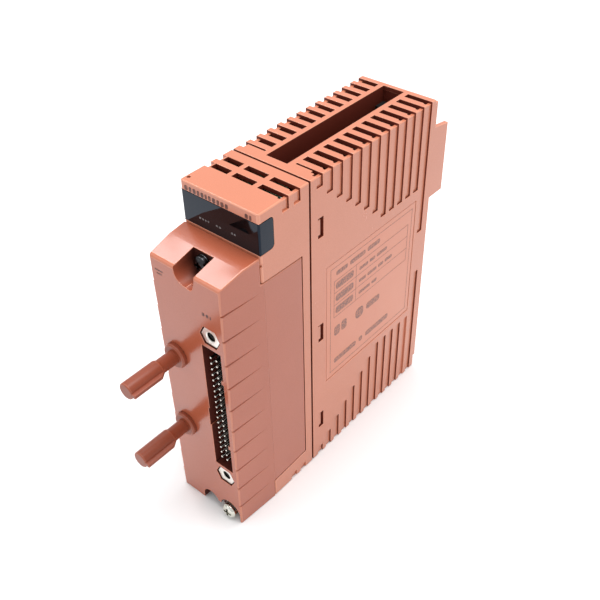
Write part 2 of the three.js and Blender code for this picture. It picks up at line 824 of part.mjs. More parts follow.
function mainBoard() {
  const board = box([BOARD_LEFT, BOARD_RIGHT], [42.8, 108.2], [6, 121]);
  const tongue = box([BOARD_LEFT, BOARD_RIGHT], [24.6, 43.8], [111.5, 121]);
  const holes = BOSSES.map(({ y, z }) => crossRod(y, z, 1.65, BOARD_LEFT - PAST, BOARD_RIGHT + PAST, 16));
  return mesh("main_board", "board", cut(join(board, tongue), ...holes));
}

function boardScrew(index) {
  const { y, z } = BOSSES[index];
  const body = join(
    crossRod(0, 0, 2.8, 0, 1.8, 16),
    crossRod(0, 0, 1.2, -6.2, 0.5, 12),
  );
  const recess = [
    box([1, 3], [-1.5, 1.5], [-0.35, 0.35]),
    box([1, 3], [-0.35, 0.35], [-1.5, 1.5]),
  ];
  return mesh(`board_screw_${index + 1}`, "bright", cut(body, ...recess), [ON_BOARD, y, z]);
}

function insulationSheet() {
  return mesh("insulation_sheet", "white", box([-14.4, -14.1], [48.5, 107.5], [21, 77]));
}

const CORE = { x: 12, y: 20, z: 18, windowY: 4, windowZ: 11, legY: 5.6 };
const TRANSFORMER_PLACE = [ON_BOARD + 9.4, 76, 60];

function transformerCore() {
  const windowMiddle = CORE.legY / 2 + CORE.windowY / 2;
  const core = cut(
    box(around(0, CORE.x / 2), around(0, CORE.y / 2), around(0, CORE.z / 2)),
    ...bothSides((side) =>
      box(around(0, 10), around(side * windowMiddle, CORE.windowY / 2), around(0, CORE.windowZ / 2)),
    ),
  );
  return mesh("transformer_core", "ferrite", core, TRANSFORMER_PLACE);
}

function transformerWinding() {
  const halfZ = CORE.windowZ / 2 - GAP;
  const winding = cut(
    box(around(0, CORE.x / 2 + 3.2), around(0, CORE.legY / 2 + CORE.windowY - GAP), around(0, halfZ)),
    box(around(0, CORE.x / 2 + GAP), around(0, CORE.legY / 2 + GAP), around(0, 20)),
  );
  return mesh("transformer_winding", "winding", winding, TRANSFORMER_PLACE);
}

const CAPACITOR_PLACES = [
  { y: 60, z: 96 },
  { y: 72, z: 96 },
  { y: 84, z: 96 },
];

function storageCapacitor(index) {
  const { y, z } = CAPACITOR_PLACES[index];
  const can = turned([
    [0, 0],
    [5, 0],
    [5, 1.6],
    [4.7, 2],
    [5, 2.4],
    [5, 14],
    [0, 14],
  ], 20);
  const piece = mesh(`storage_capacitor_${index + 1}`, "capacitor", can, [ON_BOARD, y, z]);
  piece.rotation.z = -Math.PI / 2;
  return piece;
}

function chip(name, y, z, width, height, thickness) {
  const body = box([0, thickness], around(0, width / 2), around(0, height / 2));
  const dot = crossRod(width / 2 - 1.4, height / 2 - 1.4, 0.5, thickness - 0.2, thickness + 1, 10);
  return mesh(name, "black", cut(body, dot), [ON_BOARD, y, z]);
}

const ISOLATOR_HEIGHTS = [24, 35, 46, 57];

// ---------------------------------------------------------------- backplane connector

const CONTACTS_PER_ROW = 9;
const CONTACT_HEIGHT = 104.5;
const CONTACT_ROWS = { left: -2.7, right: -0.2 };

function backplaneConnectorBody() {
  const body = box([ON_BOARD, 4.2], [97, 119.4], [91.5, 117.6]);
  const lug = box([-4.6, 1.4], [103.2, 108.2], [117, 124.2]);
  const cavity = box([-5.2, 2.3], [110, 121], [93.2, 115.9]);
  const rowHalfHeight = ((CONTACTS_PER_ROW - 1) / 2) * PIN_PITCH + 0.5;
  const slots = Object.values(CONTACT_ROWS).map((x) =>
    box(around(x, 0.42), [103, 111], around(CONTACT_HEIGHT, rowHalfHeight)),
  );
  return mesh("backplane_connector_body", "black", cut(join(body, lug), cavity, ...slots));
}

function backplaneContacts(name, x) {
  const half = PIN_SIDE / 2;
  const length = (CONTACTS_PER_ROW - 1) * PIN_PITCH;
  const strip = box(around(0, half), [103.4, 108], around(0, length / 2 + half));
  const pins = Array.from({ length: CONTACTS_PER_ROW }, (_, i) =>
    box(around(0, half), [103.4, 117.4], around(i * PIN_PITCH - length / 2, half)),
  );
  return mesh(name, "gold", join(strip, ...pins), [x, 0, CONTACT_HEIGHT]);
}

// ---------------------------------------------------------------- assembly

const housing = new THREE.Group();
housing.add(
  rearCase(),
  namePlate(),
  frontCover(),
  indicatorWindow(),
  lightShield(),
  indicatorBoard(),
  ...LAMP_PLACES.map((_, i) => statusLamp(i)),
  indicatorLinkHeader(),
  threadedInsert("threaded_insert_upper", UPPER_SCREW, COVER_FRONT + 0.3, 21.2),
  threadedInsert("threaded_insert_lower", LOWER_SCREW, FOOT_FRONT + 0.3, 25.6),
);

const electronics = new THREE.Group();
electronics.add(
  mainBoard(),
  ...BOSSES.map((_, i) => boardScrew(i)),
  insulationSheet(),
  mainLinkSocket(),
  transformerCore(),
  transformerWinding(),
  ...CAPACITOR_PLACES.map((_, i) => storageCapacitor(i)),
  chip("processor_chip", 96, 60, 15, 18, 2.4),
  chip("converter_chip", 92, 30, 12, 12, 2.2),
  ...ISOLATOR_HEIGHTS.map((z, i) => chip(`isolator_${i + 1}`, 58, z, 6.6, 8.6, 3.4)),
  backplaneConnectorBody(),
  backplaneContacts("backplane_contacts_left", CONTACT_ROWS.left),
  backplaneContacts("backplane_contacts_right", CONTACT_ROWS.right),
);

const adapter = new THREE.Group();
adapter.add(
  adapterHousing(),
  adapterBackCover(),
  adapterBoard(),
  adapterLinkPlug(),
  signalHeaderBody(),
  pinRow("signal_pins_left_row", -1, 11.4),
  pinRow("signal_pins_right_row", 1, 13.9),
  jackSocket("jack_socket_upper", HEADER_Z + JACK_OFFSET),
  jackSocket("jack_socket_lower", HEADER_Z - JACK_OFFSET),
  jackNut("jack_nut_upper", HEADER_Z + JACK_OFFSET),
  jackNut("jack_nut_lower", HEADER_Z - JACK_OFFSET),
  retainingKnob("retaining_knob_upper", KNOB_HEIGHTS.upper),
  retainingKnob("retaining_knob_lower", KNOB_HEIGHTS.lower),
  knobClip("knob_clip_upper", KNOB_HEIGHTS.upper),
  knobClip("knob_clip_lower", KNOB_HEIGHTS.lower),
  adapterScrew("adapter_screw_upper", UPPER_SCREW),
  adapterScrew("adapter_screw_lower", LOWER_SCREW),
  adapterWasher("adapter_washer_upper", UPPER_SCREW),
  adapterWasher("adapter_washer_lower", LOWER_SCREW),
  fixingScrew(),
  fixingWasher(),
);

const module = new THREE.Group();
module.add(housing, electronics, adapter);
module.position.y = -(KNOB_REACH + GUARD_REAR) / 2;

export default module;
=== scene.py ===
"""The looks of the rack module: shells with rounded edges, small parts, print, materials, light and camera.

Metres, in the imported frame: +X is the side with the name plate, +Y is the rear and +Z is up.
"""

import json
import math

import bmesh
import bpy
from mathutils import Matrix, Vector


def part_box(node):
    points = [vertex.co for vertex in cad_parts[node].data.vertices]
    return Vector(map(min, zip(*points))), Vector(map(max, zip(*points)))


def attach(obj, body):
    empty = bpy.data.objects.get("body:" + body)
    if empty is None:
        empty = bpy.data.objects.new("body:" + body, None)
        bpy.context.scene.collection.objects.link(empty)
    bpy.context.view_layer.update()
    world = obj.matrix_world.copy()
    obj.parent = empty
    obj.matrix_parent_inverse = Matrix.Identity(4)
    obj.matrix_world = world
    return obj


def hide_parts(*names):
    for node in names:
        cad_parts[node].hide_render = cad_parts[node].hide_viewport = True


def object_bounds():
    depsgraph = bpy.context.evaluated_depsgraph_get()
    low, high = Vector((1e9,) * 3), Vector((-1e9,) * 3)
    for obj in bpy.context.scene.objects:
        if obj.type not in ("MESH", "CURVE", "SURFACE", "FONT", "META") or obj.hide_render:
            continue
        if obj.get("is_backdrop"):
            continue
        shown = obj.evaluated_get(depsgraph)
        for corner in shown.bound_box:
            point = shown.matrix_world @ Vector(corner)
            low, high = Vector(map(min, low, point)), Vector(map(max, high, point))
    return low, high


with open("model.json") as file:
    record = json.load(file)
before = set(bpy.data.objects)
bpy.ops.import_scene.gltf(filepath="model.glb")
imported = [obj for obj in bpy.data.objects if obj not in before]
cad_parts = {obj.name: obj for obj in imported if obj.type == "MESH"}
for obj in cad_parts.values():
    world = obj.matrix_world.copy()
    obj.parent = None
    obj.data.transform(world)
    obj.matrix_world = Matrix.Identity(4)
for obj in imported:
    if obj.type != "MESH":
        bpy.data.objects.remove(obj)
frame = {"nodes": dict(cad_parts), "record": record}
cad_low, cad_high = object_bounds()

MM = 0.001
DEPTH_ORIGIN = 49.0  # the adapter's front face is this far in front of the frame's origin, mm
HALF_WIDTH = 16.4
HEIGHT = 130.0


def at(x, y, z):
    """A point in metres from millimetres, with y counted from the adapter's front face."""
    return Vector((x * MM, (y - DEPTH_ORIGIN) * MM, z * MM))


# ---------------------------------------------------------------- camera

CAMERA_PLACE = at(155.73, -126.13, 263.24)
CAMERA_AZIMUTH = 41.491
CAMERA_ELEVATION = 39.074
CAMERA_ROLL = -1.623
SENSOR = 36.0
IMAGE_SIDE = 600.0
FOCAL_PIXELS = 830.14
OPTICAL_AXIS = (293.35, 292.16)  # where it meets the image


def make_camera():
    azimuth, elevation, roll = map(math.radians, (CAMERA_AZIMUTH, CAMERA_ELEVATION, CAMERA_ROLL))
    back = Vector((
        math.sin(azimuth) * math.cos(elevation),
        -math.cos(azimuth) * math.cos(elevation),
        math.sin(elevation),
    ))
    right = (-back).cross(Vector((0, 0, 1))).normalized()
    up = right.cross(-back)
    turned_right = right * math.cos(roll) + up * math.sin(roll)
    turned_up = up * math.cos(roll) - right * math.sin(roll)
    data = bpy.data.cameras.new("camera")
    data.sensor_width = SENSOR
    data.lens = FOCAL_PIXELS * SENSOR / IMAGE_SIDE
    data.shift_x = (IMAGE_SIDE / 2 - OPTICAL_AXIS[0]) / IMAGE_SIDE
    data.shift_y = (OPTICAL_AXIS[1] - IMAGE_SIDE / 2) / IMAGE_SIDE
    data.clip_start = 0.01
    data.clip_end = 50
    camera = bpy.data.objects.new("camera", data)
    bpy.context.scene.collection.objects.link(camera)
    basis = Matrix((turned_right, turned_up, back)).transposed().to_4x4()
    camera.matrix_world = Matrix.Translation(CAMERA_PLACE) @ basis
    bpy.context.scene.camera = camera


# ---------------------------------------------------------------- materials


class Nodes:
    """A short way to write a node material."""

    def __init__(self, name):
        self.material = bpy.data.materials.new(name)
        self.material.use_nodes = True
        self.tree = self.material.node_tree
        self.shader = self.tree.nodes["Principled BSDF"]
        self.place = self.add("ShaderNodeTexCoord").outputs["Object"]

    def add(self, kind, **settings):
        node = self.tree.nodes.new(kind)
        for key, value in settings.items():
            setattr(node, key, value)
        return node

    def link(self, out, into):
        self.tree.links.new(out, into)

    def stretched(self, scale):
        mapping = self.add("ShaderNodeMapping")
        mapping.inputs["Scale"].default_value = scale
        self.link(self.place, mapping.inputs["Vector"])
        return mapping.outputs["Vector"]

    def noise(self, scale, detail=3.0, roughness=0.55, vector=None):
        node = self.add("ShaderNodeTexNoise")
        node.inputs["Scale"].default_value = scale
        node.inputs["Detail"].default_value = detail
        node.inputs["Roughness"].default_value = roughness
        self.link(vector or self.place, node.inputs["Vector"])
        return node.outputs["Fac"]

    def cells(self, scale, vector=None):
        node = self.add("ShaderNodeTexVoronoi")
        node.inputs["Scale"].default_value = scale
        self.link(vector or self.place, node.inputs["Vector"])
        return node.outputs["Distance"]

    def ramp(self, value, low, high):
        """Maps 0..1 of a value to low..high."""
        node = self.add("ShaderNodeMapRange")
        node.inputs["To Min"].default_value = low
        node.inputs["To Max"].default_value = high
        self.link(value, node.inputs["Value"])
        return node.outputs["Result"]

    def band(self, value, low, high, start=0.0, end=1.0):
        node = self.add("ShaderNodeMapRange")
        node.inputs["From Min"].default_value = low
        node.inputs["From Max"].default_value = high
        node.inputs["To Min"].default_value = start
        node.inputs["To Max"].default_value = end
        self.link(value, node.inputs["Value"])
        return node.outputs["Result"]

    def math(self, operation, a, b):
        node = self.add("ShaderNodeMath", operation=operation)
        for socket, value in zip(node.inputs, (a, b)):
            if isinstance(value, (int, float)):
                socket.default_value = value
            else:
                self.link(value, socket)
        return node.outputs["Value"]

    def mix(self, factor, a, b):
        """A colour between a and b: each is a colour or an output."""
        node = self.add("ShaderNodeMix", data_type="RGBA")
        self.link(factor, node.inputs["Factor"])
        for socket, value in ((node.inputs["A"], a), (node.inputs["B"], b)):
            if isinstance(value, tuple):
                socket.default_value = (*value, 1.0)
            else:
                self.link(value, socket)
        return node.outputs["Result"]

    def axis(self, name):
        node = self.add("ShaderNodeSeparateXYZ")
        self.link(self.place, node.inputs["Vector"])
        return node.outputs[name]

    def bump(self, height, strength, distance, below=None):
        node = self.add("ShaderNodeBump")
        node.inputs["Strength"].default_value = strength
        node.inputs["Distance"].default_value = distance
        self.link(height, node.inputs["Height"])
        if below is not None:
            self.link(below, node.inputs["Normal"])
        return node.outputs["Normal"]

    def finish(self, colour, roughness, normal=None, **sockets):
        for name, value in (("Base Color", colour), ("Roughness", roughness), ("Normal", normal)):
            if value is None:
                continue
            if isinstance(value, (int, float)):
                self.shader.inputs[name].default_value = value
            else:
                self.link(value, self.shader.inputs[name])
        for name, value in sockets.items():
            self.shader.inputs[name.replace("_", " ")].default_value = value
        return self.material


def moulded_plastic(name, base, deep, gloss=0.22, grain=1.0, level=0.8):
    """Fine spark-eroded texture, faint flow clouds and handling marks."""
    n = Nodes(name)
    clouds = n.noise(28, 4)
    speckle = n.noise(2600, 2)
    scuffs = n.noise(70, 5, 0.7)
    body = n.mix(n.band(clouds, 0.3, 0.7), deep, base)
    tint = tuple(min(1.0, c * 1.1 + 0.01) for c in base)
    colour = n.mix(n.band(speckle, 0.35, 0.75, 0.0, 0.4), body, tint)
    dull = n.math("ADD", n.band(scuffs, 0.35, 0.72, gloss - 0.03, gloss + 0.05), n.ramp(speckle, -0.02, 0.03))
    fine = n.bump(speckle, 0.1 * grain, 0.00004)
    normal = n.bump(n.noise(300, 3), 0.03 * grain, 0.0001, fine)
    return n.finish(colour, dull, normal, Specular_IOR_Level=level)


def smoked_glass(name):
    n = Nodes(name)
    haze = n.noise(160, 4)
    dust = n.noise(1500, 2)
    colour = n.mix(n.band(dust, 0.62, 0.8), (0.0012, 0.0012, 0.0016), (0.004, 0.004, 0.005))
    normal = n.bump(n.noise(60, 2), 0.02, 0.0004)
    tint = (0.42, 0.58, 0.86, 1.0)
    return n.finish(
        colour, n.band(haze, 0.3, 0.8, 0.03, 0.09), normal, Specular_IOR_Level=0.42, Specular_Tint=tint
    )


def well_painted_shade(name, near, deep):
    """Painted shade on the walls of the screw wells: their colour darkens with depth behind the front face.
    """
    n = Nodes(name)
    front = -DEPTH_ORIGIN * MM
    colour = n.mix(n.band(n.axis("Y"), front + 0.001, front + 0.0085), near, deep)
    speckle = n.noise(2600, 2)
    return n.finish(colour, n.ramp(speckle, 0.35, 0.5), n.bump(speckle, 0.1, 0.00004), Specular_IOR_Level=0.4)


def black_plastic(name):
    n = Nodes(name)
    speckle = n.noise(2200, 2)
    colour = n.mix(n.band(speckle, 0.3, 0.8), (0.005, 0.005, 0.006), (0.012, 0.012, 0.013))
    return n.finish(
        colour, n.ramp(speckle, 0.5, 0.7), n.bump(speckle, 0.2, 0.00005), Specular_IOR_Level=0.2
    )


def metal(name, base, tarnish, roughness, streaks=(1.0, 1.0, 1.0), scale=900):
    n = Nodes(name)
    grain = n.noise(scale, 4, 0.6, n.stretched(streaks))
    stain = n.noise(300, 3)
    colour = n.mix(n.band(stain, 0.35, 0.75), base, tarnish)
    spread = n.ramp(grain, roughness * 0.6, roughness * 1.6)
    return n.finish(colour, spread, n.bump(grain, 0.12, 0.00004), Metallic=1.0)


def board_material(name):
    """Solder mask with a faint raised pattern of tracks and vias."""
    n = Nodes(name)
    brick = n.add("ShaderNodeTexBrick")
    n.link(n.stretched((0.0, 1.0, 1.0)), brick.inputs["Vector"])
    brick.inputs["Scale"].default_value = 260
    brick.inputs["Mortar Size"].default_value = 0.03
    brick.inputs["Color1"].default_value = (0.02, 0.10, 0.05, 1)
    brick.inputs["Color2"].default_value = (0.03, 0.14, 0.07, 1)
    brick.inputs["Mortar"].default_value = (0.05, 0.20, 0.09, 1)
    vias = n.cells(420)
    colour = n.mix(n.band(vias, 0.05, 0.12, 1.0, 0.0), brick.outputs["Color"], (0.55, 0.42, 0.16))
    return n.finish(colour, n.ramp(n.noise(700), 0.28, 0.45), n.bump(brick.outputs["Fac"], 0.3, 0.00005))


def sleeve_material(name, base, other):
    n = Nodes(name)
    colour = n.mix(n.band(n.noise(260, 3), 0.35, 0.7), base, other)
    return n.finish(colour, n.ramp(n.noise(1200), 0.25, 0.4), n.bump(n.noise(90, 2), 0.1, 0.0002))


def lamp_material(name):
    n = Nodes(name)
    colour = n.mix(n.band(n.noise(900), 0.3, 0.7), (0.42, 0.5, 0.44), (0.6, 0.68, 0.62))
    dull = n.ramp(n.noise(1500), 0.1, 0.22)
    return n.finish(colour, dull, n.bump(n.noise(500), 0.05, 0.0001), Coat_Weight=0.4)


def ink_material(name, ink, worn, cover):
    """Print that has partly rubbed off."""
    n = Nodes(name)
    patches = n.noise(1300, 4, 0.7)
    colour = n.mix(n.band(patches, cover - 0.06, cover + 0.06), ink, worn)
    return n.finish(colour, n.ramp(n.noise(2000), 0.35, 0.55), n.bump(patches, 0.1, 0.00003))


SHELL_BASE = (0.575, 0.196, 0.110)
SHELL_DEEP = (0.535, 0.178, 0.097)
ADAPTER_BASE = (0.415, 0.102, 0.049)
ADAPTER_DEEP = (0.380, 0.091, 0.043)
KNOB_BASE = (0.265, 0.056, 0.024)
KNOB_DEEP = (0.235, 0.048, 0.020)

shell_plastic = moulded_plastic("shell_plastic", SHELL_BASE, SHELL_DEEP)
# a lighter copy for the rounded edges: partly wear, partly painted highlight
shell_edge = moulded_plastic("shell_worn_edge_and_painted_highlight", (0.70, 0.28, 0.17), (0.66, 0.25, 0.15), 0.2, 0.4)
# painted shade: a near-black copy of the shell plastic for the faces in the box, vents, side channels and
# snap windows
shell_inside_painted_shade = moulded_plastic("shell_inside_painted_shade", (0.15, 0.025, 0.013), (0.12, 0.020, 0.011), 0.5, 0.6, 0.25)
adapter_plastic = moulded_plastic("adapter_plastic", ADAPTER_BASE, ADAPTER_DEEP, 0.21)
# a lighter copy for the rounded edges: partly wear, partly painted highlight
adapter_edge = moulded_plastic("adapter_worn_edge_and_painted_highlight", (0.54, 0.17, 0.09), (0.50, 0.15, 0.08), 0.17, 0.4)
# painted shade: a near-black copy of the adapter plastic for the header's opening, the hollow behind it and
# the lower screw well
adapter_inside_painted_shade = moulded_plastic(
    "adapter_inside_painted_shade", (0.10, 0.019, 0.012), (0.075, 0.014, 0.009), 0.5, 0.6, 0.25
)
# painted shade: the well walls go from the adapter colour at the front to near-black deeper in
adapter_well_painted_shade = well_painted_shade("adapter_well_painted_shade", (0.33, 0.075, 0.036), (0.045, 0.010, 0.007))
knob_plastic = moulded_plastic("knob_plastic", KNOB_BASE, KNOB_DEEP, 0.36, 1.0, 0.38)
# a lighter copy for the rounded edges: partly wear, partly painted highlight
knob_edge = moulded_plastic("knob_worn_edge_and_painted_highlight", (0.34, 0.090, 0.048), (0.30, 0.078, 0.040), 0.34, 0.4, 0.38)
label_film = moulded_plastic("label_film", (0.63, 0.225, 0.132), (0.60, 0.205, 0.118), 0.34, 0.3)
window_glass = smoked_glass("window_smoked")
matte_black = black_plastic("black_moulding")
bright = metal("bright_nickel", (0.80, 0.80, 0.74), (0.58, 0.58, 0.50), 0.2)
jack_metal = metal("jack_nickel", (0.93, 0.91, 0.87), (0.80, 0.76, 0.68), 0.3)
# painted shade: nickel made near-black for the thread deep in the jack bores
thread_painted_shade = metal("thread_nickel_painted_shade", (0.06, 0.058, 0.055), (0.03, 0.028, 0.026), 0.3)
# painted shade: the pins' plating made near-black along the shafts, which sit deep in the header
pin_shaft_painted_shade = metal("pin_shaft_painted_shade_plating", (0.085, 0.08, 0.07), (0.05, 0.046, 0.04), 0.42)
pin_metal = metal("pin_plating", (0.97, 0.95, 0.90), (0.92, 0.88, 0.78), 0.42)
dark_metal = metal("black_zinc", (0.055, 0.055, 0.06), (0.03, 0.03, 0.032), 0.22)
brass = metal("brass_insert", (0.72, 0.50, 0.20), (0.55, 0.36, 0.14), 0.25)
gold = metal("gold_plate", (0.86, 0.72, 0.46), (0.72, 0.58, 0.34), 0.2)
ferrite = black_plastic("ferrite")
board_green = board_material("solder_mask")
tape_yellow = sleeve_material("winding_tape", (0.62, 0.42, 0.06), (0.52, 0.33, 0.04))
sleeve_blue = sleeve_material("capacitor_sleeve", (0.012, 0.03, 0.11), (0.02, 0.045, 0.15))
film_white = sleeve_material("insulation_film", (0.72, 0.70, 0.62), (0.62, 0.60, 0.52))
lamp_clear = lamp_material("lamp_lens")
ink_dark = ink_material("ink_dark", (0.09, 0.022, 0.014), (0.22, 0.07, 0.04), 0.56)
ink_faded = ink_material("ink_faded", (0.21, 0.105, 0.085), (0.44, 0.17, 0.11), 0.5)
ink_pale = ink_material("ink_pale", (0.22, 0.23, 0.24), (0.03, 0.03, 0.035), 0.55)

# ---------------------------------------------------------------- shells from the CAD solids


BODY_OF = {
    node: body for body, nodes in frame["record"]["behaviour"]["bodies"].items() for node in nodes
}


def add_object(name, mesh, body, node=None, slot_name=None, materials=()):
    obj = bpy.data.objects.new(name, mesh)
    bpy.context.scene.collection.objects.link(obj)
    for material in materials:
        obj.data.materials.append(material)
    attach(obj, body)
    if node:
        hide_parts(*([node] if isinstance(node, str) else node))
    return obj


def clean_solid(node):
    """The CAD solid as a bmesh with its flat faces whole."""
    bm = bmesh.new()
    bm.from_mesh(frame["nodes"][node].data)
    bmesh.ops.remove_doubles(bm, verts=bm.verts, dist=0.000004)
    bmesh.ops.dissolve_limit(bm, angle_limit=math.radians(0.6), verts=bm.verts, edges=bm.edges)
    bm.normal_update()
    return bm


def realise(obj):
    """Applies the object's modifiers."""
    graph = bpy.context.evaluated_depsgraph_get()
    mesh = bpy.data.meshes.new_from_object(obj.evaluated_get(graph), depsgraph=graph)
    obj.modifiers.clear()
    obj.data = mesh


def rounded_shell(
    node, name, slot_name, materials, width_of, widest, segments=3, inner=None, clamp=False, slide=True
):
    """The CAD solid with rounded edges.

    width_of(edge midpoint in mm, edge) gives an edge's width in mm, or 0, and widest is the largest of them.
    materials[0] is for the faces and materials[1] for the rounded edges. inner(face middle in mm) gives
    another material's place in the list, or None. slide lets a rounded edge end along its neighbour: it is
    off where a flat face is cut by a line nearly parallel to the edge.
    """
    body = BODY_OF[node]
    bm = clean_solid(node)
    if inner:
        for face in bm.faces:
            middle = face.calc_center_median() / MM + Vector((0, DEPTH_ORIGIN, 0))
            face.material_index = inner(middle) or 0
    weights = bm.edges.layers.float.new("bevel_weight_edge")
    for edge in bm.edges:
        if len(edge.link_faces) != 2 or not edge.is_convex:
            continue
        if edge.calc_face_angle(0.0) < math.radians(25):
            continue
        a, b = (v.co / MM for v in edge.verts)
        width = width_of((a + b) / 2 + Vector((0, DEPTH_ORIGIN, 0)), edge)
        edge[weights] = width / widest
    mesh = bpy.data.meshes.new(name)
    bm.to_mesh(mesh)
    bm.free()
    obj = add_object(name, mesh, body, node, slot_name, materials)
    bevel = obj.modifiers.new("round", "BEVEL")
    bevel.limit_method = "WEIGHT"
    bevel.width = widest * MM
    bevel.segments = segments
    bevel.use_clamp_overlap = clamp
    bevel.loop_slide = slide
    bevel.miter_outer = "MITER_SHARP"
    # for the plastics, materials[1] is a lighter copy on the rounded edges: partly wear, partly painted
    # highlight
    if len(materials) > 1:
        bevel.material = 1
    realise(obj)
    smooth(obj)
    return obj


def smooth(obj, angle=35):
    """Smooth shading that leaves flat faces flat."""
    mesh = obj.data
    mesh.shade_smooth()
    bm = bmesh.new()
    bm.from_mesh(mesh)
    for edge in bm.edges:
        if len(edge.link_faces) == 2:
            edge.smooth = edge.calc_face_angle(0.0) < math.radians(angle)
    bm.to_mesh(mesh)
    bm.free()
    weighted = obj.modifiers.new("flat", "WEIGHTED_NORMAL")
    weighted.keep_sharp = True
    weighted.weight = 100
    realise(obj)


def on_planes(edge, planes, slack=0.02):
    """How many of the planes (axis, mm) both ends of the edge lie on."""
    ends = [v.co / MM + Vector((0, DEPTH_ORIGIN, 0)) for v in edge.verts]
    return sum(all(abs(e[axis] - value) < slack for e in ends) for axis, value in planes)


CASE_REAR, SIDE_WALL_REAR, GUARD_REAR = 110.9, 112.3, 120.7
COVER_FRONT, FOOT_FRONT = 17.0, 18.0
CHANNEL_TOP = 129
OUTER_PLANES = [(0, HALF_WIDTH), (0, -HALF_WIDTH), (2, 0), (2, HEIGHT)]
CASE_PLANES = OUTER_PLANES + [(1, CASE_REAR), (1, SIDE_WALL_REAR), (1, GUARD_REAR), (2, CHANNEL_TOP)]
SEAM_PLANES = [(1, 40.0), (1, 40.9)]
INNER_HALF = 14.65
SNAP_HEIGHTS = (19.3, 64.7, 110.2)
SNAP_SPAN = (44.3, 47.3)
SNAP_HALF_HEIGHT = 4.05
CHANNEL_FLOOR = 15.75
LABEL_ENDS = (48.9, 103)
LABEL_LEVELS = (37.7, 91.7)


def case_edge(mid, edge):
    if on_planes(edge, SEAM_PLANES):
        return 0.16
    if abs(mid.x) < 14.2 and 2.2 < mid.z < 127.9 and mid.y < 110.8:
        return 0.0
    if on_planes(edge, CASE_PLANES) >= 2:
        return 0.5
    return 0.16


def case_painted_shade_faces(middle):
    """2, painted shade, a near-black copy of the shell plastic: inside the box, in the vent slots, side
    channels and snap windows.
    """
    enclosed = abs(middle.x) < INNER_HALF and 0.05 < middle.z < HEIGHT - 0.05 and middle.y < 110.6
    window = abs(middle.x) < HALF_WIDTH - 0.05 and SNAP_SPAN[0] < middle.y < SNAP_SPAN[1]
    snap = window and any(abs(middle.z - z) < SNAP_HALF_HEIGHT for z in SNAP_HEIGHTS)
    channel = CHANNEL_FLOOR < abs(middle.x) < HALF_WIDTH - 0.05 and middle.y < 110
    near_end = min(abs(middle.y - y) for y in LABEL_ENDS) < 0.6
    label_wall = near_end or min(abs(middle.z - z) for z in LABEL_LEVELS) < 0.6
    return 2 if enclosed or snap or (channel and not label_wall) else None


rounded_shell(
    "rear_case", "rear_case_shell", "case_plastic", [shell_plastic, shell_edge, shell_inside_painted_shade],
    case_edge, 0.5, inner=case_painted_shade_faces,
)

COVER_PLANES = OUTER_PLANES + [(1, COVER_FRONT), (1, FOOT_FRONT)]


def cover_edge(mid, edge):
    if mid.y > 40.05:
        return 0.0
    if on_planes(edge, SEAM_PLANES):
        return 0.16
    if abs(mid.x) < 14.7 and mid.y > 18.5 and 1.9 < mid.z < 128.1:
        return 0.0
    if mid.y < 17.05 and abs(mid.x) > 16.3 and on_planes(edge, COVER_PLANES) >= 2:
        return 0.9
    if on_planes(edge, COVER_PLANES) >= 2:
        return 0.5
    return 0.14


# 2, painted shade, on the faces inside the cover's box
def cover_painted_shade_faces(middle):
    enclosed = abs(middle.x) < INNER_HALF and 0.05 < middle.z < HEIGHT - 0.05 and 18.6 < middle.y < 40.05
    return 2 if enclosed else None


rounded_shell(
    "front_cover", "front_cover_shell", "case_plastic", [shell_plastic, shell_edge, shell_inside_painted_shade],
    cover_edge, 0.9, inner=cover_painted_shade_faces,
)


def adapter_edge_width(mid, edge):
    a, b = (v.co / MM for v in edge.verts)
    along = (b - a).normalized()
    if mid.y > 3 and 11 < mid.z < 102 and abs(mid.x) < 13.8:
        return 0.0
    front = mid.y < 0.05
    flank = abs(mid.x) > 15.0
    if flank and 0.2 < mid.y < 17.3 and abs(along.y) > 0.5 and mid.z < 108 and mid.z > 1:
        return 0.0
    if front and mid.z > 111.6:
        return 1.2
    if front and flank and abs(along.z) > 0.9:
        return 0.6
    if flank and mid.z > 104:
        return 0.5
    if flank and abs(along.z) > 0.9:
        return 0.25
    return 0.16


def adapter_painted_shade_faces(middle):
    """Painted shade: 2, a near-black copy of the adapter plastic, in the header's opening, the hollow behind
    it and the lower screw well; 3, shade that darkens with depth, in the upper trough.
    """
    if abs(middle.x) > 14 or middle.y < 0.05 or middle.y > 33.8:
        return None
    if 11.2 <= middle.z <= 101.9:
        return 2
    if middle.y < 9.3 and 0.05 < middle.z < 8:
        return 2
    in_trough = middle.y < 9.3 and 104.5 < middle.z < 112.2 and abs(middle.x) < 5
    return 3 if in_trough else None


rounded_shell(
    "adapter_housing", "adapter_shell", "adapter_plastic",
    [adapter_plastic, adapter_edge, adapter_inside_painted_shade, adapter_well_painted_shade],
    adapter_edge_width, 1.2, inner=adapter_painted_shade_faces, slide=False,
)


def window_edge(mid, edge):
    if abs(mid.x) < 14.9:
        return 0.1 if mid.y < 17.05 else 0.0
    if mid.y < 17.2 and abs(mid.x) > 16:
        return 0.7
    return 0.15


rounded_shell(
    "indicator_window", "indicator_window_lens", "smoked_window", [window_glass], window_edge, 0.7, 4
)

# ---------------------------------------------------------------- small parts


def all_edges(width):
    return lambda mid, edge: width


def tip_edges(mid, edge):
    """Pins: only their tips are chamfered."""
    return 0.16 if mid.y < 4 else 0.0


# 1, the bright plating, on the pin tips; the shafts keep the painted shade of materials[0]
def pin_tip(middle):
    return 1 if middle.y < PIN_TIP + 0.05 else None


def jack_bore_painted_shade(height):
    """2, painted shade, the thread's nickel made near-black, in the bore below the countersink."""
    def inner(middle):
        reach = math.hypot(middle.x - JACK_X, middle.z - height)
        return 2 if reach < 1.75 and middle.y > JACK_FRONT + 0.6 else None
    return inner


